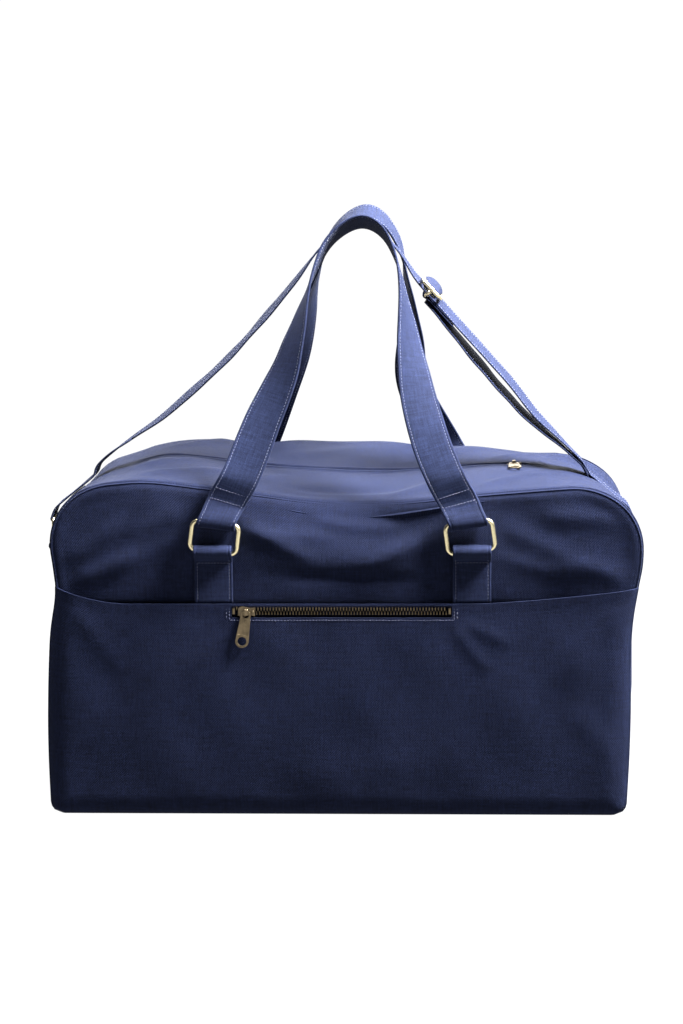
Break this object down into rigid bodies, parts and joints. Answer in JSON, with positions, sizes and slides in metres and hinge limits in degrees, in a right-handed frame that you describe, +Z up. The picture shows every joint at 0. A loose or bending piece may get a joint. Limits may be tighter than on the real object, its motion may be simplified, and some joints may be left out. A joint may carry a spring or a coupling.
{
  "type": "weekender bag",
  "caption": "Navy canvas weekender bag with two ringed handles, a zipped mouth, a zipped front pocket and an adjustable shoulder strap.",
  "frame": {"origin": "middle of the base's underside, on the floor", "axes": "+X to the right seen from the front, +Y from the front (pocket side) to the back, +Z up"},
  "size_m": [0.6046, 0.2886, 0.6006],
  "materials": {
    "canvas": "matte navy cotton canvas",
    "webbing": "folded and stitched navy canvas",
    "zip_tape": "dark woven tape",
    "pale_brass": "polished pale brass",
    "antique_brass": "darkened brass",
    "board": "plain stiff board"
  },
  "bodies": {
    "bag": {"front_panel": "canvas", "back_panel": "canvas", "bottom_panel": "canvas", "left_gusset": "canvas", "right_gusset": "canvas", "top_end_left": "canvas", "top_end_right": "canvas", "front_pocket_panel": "canvas", "front_tab_left": "webbing", "front_tab_right": "webbing", "back_tab_left": "webbing", "back_tab_right": "webbing", "side_tab_left": "webbing", "side_tab_right": "webbing", "strap_end_left": "webbing", "strap_end_right": "webbing", "pocket_zip_tape_upper": "zip_tape", "pocket_zip_tape_lower": "zip_tape", "side_ring_left": "pale_brass", "side_ring_right": "pale_brass", "pocket_zip_teeth_upper": "antique_brass", "pocket_zip_teeth_lower": "antique_brass", "top_zip_stop_left": "antique_brass", "top_zip_stop_right": "antique_brass", "pocket_zip_stop_left": "antique_brass", "pocket_zip_stop_right": "antique_brass", "base_board": "board"},
    "front_flap": {"top_flap_front": "canvas", "top_zip_tape_front": "zip_tape", "top_zip_teeth_front": "antique_brass"},
    "back_flap": {"top_flap_back": "canvas", "top_zip_tape_back": "zip_tape", "top_zip_teeth_back": "antique_brass"},
    "top_slider": {"top_zip_slider": "antique_brass"},
    "top_pull": {"top_zip_pull": "antique_brass"},
    "pocket_slider": {"pocket_zip_slider": "antique_brass"},
    "pocket_pull": {"pocket_zip_pull": "antique_brass"},
    "front_rings": {"front_ring_left": "pale_brass", "front_ring_right": "pale_brass"},
    "front_handle": {"front_handle": "webbing"},
    "back_rings": {"back_ring_left": "pale_brass", "back_ring_right": "pale_brass"},
    "back_handle": {"back_handle": "webbing"},
    "shoulder_strap": {"shoulder_strap": "webbing", "strap_return_ply": "webbing"},
    "adjuster": {"strap_adjuster": "pale_brass", "strap_sewn_end": "webbing"}
  },
  "joints": [
    {"name": "front_flap_fold", "type": "hinge", "parent": "bag", "child": "front_flap", "pos_m": [0, -0.1277, 0.328], "axis": [1, 0, 0], "range_deg": [0, 50]},
    {"name": "back_flap_fold", "type": "hinge", "parent": "bag", "child": "back_flap", "pos_m": [0, 0.1277, 0.328], "axis": [-1, 0, 0], "range_deg": [0, 50]},
    {"name": "top_zip_slide", "type": "slide", "parent": "bag", "child": "top_slider", "axis": [-1, 0, 0], "range_m": [0, 0.356]},
    {"name": "top_pull_swing", "type": "hinge", "parent": "top_slider", "child": "top_pull", "pos_m": [0.178, 0, 0.3292], "axis": [-1, 0, 0], "range_deg": [0, 180]},
    {"name": "pocket_zip_slide", "type": "slide", "parent": "bag", "child": "pocket_slider", "axis": [1, 0, 0], "range_m": [0, 0.188]},
    {"name": "pocket_pull_swing", "type": "hinge", "parent": "pocket_slider", "child": "pocket_pull", "pos_m": [-0.088, -0.1378, 0.2073], "axis": [-1, 0, 0], "range_deg": [0, 150]},
    {"name": "front_ring_swing", "type": "hinge", "parent": "bag", "child": "front_rings", "pos_m": [0, -0.1373, 0.267], "axis": [1, 0, 0], "range_deg": [0, 90]},
    {"name": "front_handle_swing", "type": "hinge", "parent": "front_rings", "child": "front_handle", "pos_m": [0, -0.1373, 0.29575], "axis": [1, 0, 0], "range_deg": [0, 22.5]},
    {"name": "back_ring_swing", "type": "hinge", "parent": "bag", "child": "back_rings", "pos_m": [0, 0.1373, 0.267], "axis": [-1, 0, 0], "range_deg": [0, 90]},
    {"name": "back_handle_swing", "type": "hinge", "parent": "back_rings", "child": "back_handle", "pos_m": [0, 0.1373, 0.29575], "axis": [-1, 0, 0], "range_deg": [0, 22.5]},
    {"name": "shoulder_strap_swing", "type": "hinge", "parent": "bag", "child": "shoulder_strap", "pos_m": [0, 0, 0.33], "axis": [-1, 0, 0], "range_deg": [0, 10.8]},
    {"name": "adjuster_slide", "type": "slide", "parent": "shoulder_strap", "child": "adjuster", "axis": [0.6678, 0, -0.7443], "range_m": [0, 0.08]}
  ],
  "couplings": [
    {"joint": "back_flap_fold", "follows": "front_flap_fold", "ratio": 1},
    {"joint": "front_handle_swing", "follows": "front_ring_swing", "ratio": 0.25},
    {"joint": "back_handle_swing", "follows": "back_ring_swing", "ratio": 0.25},
    {"joint": "shoulder_strap_swing", "follows": "back_ring_swing", "ratio": 0.12}
  ]
}
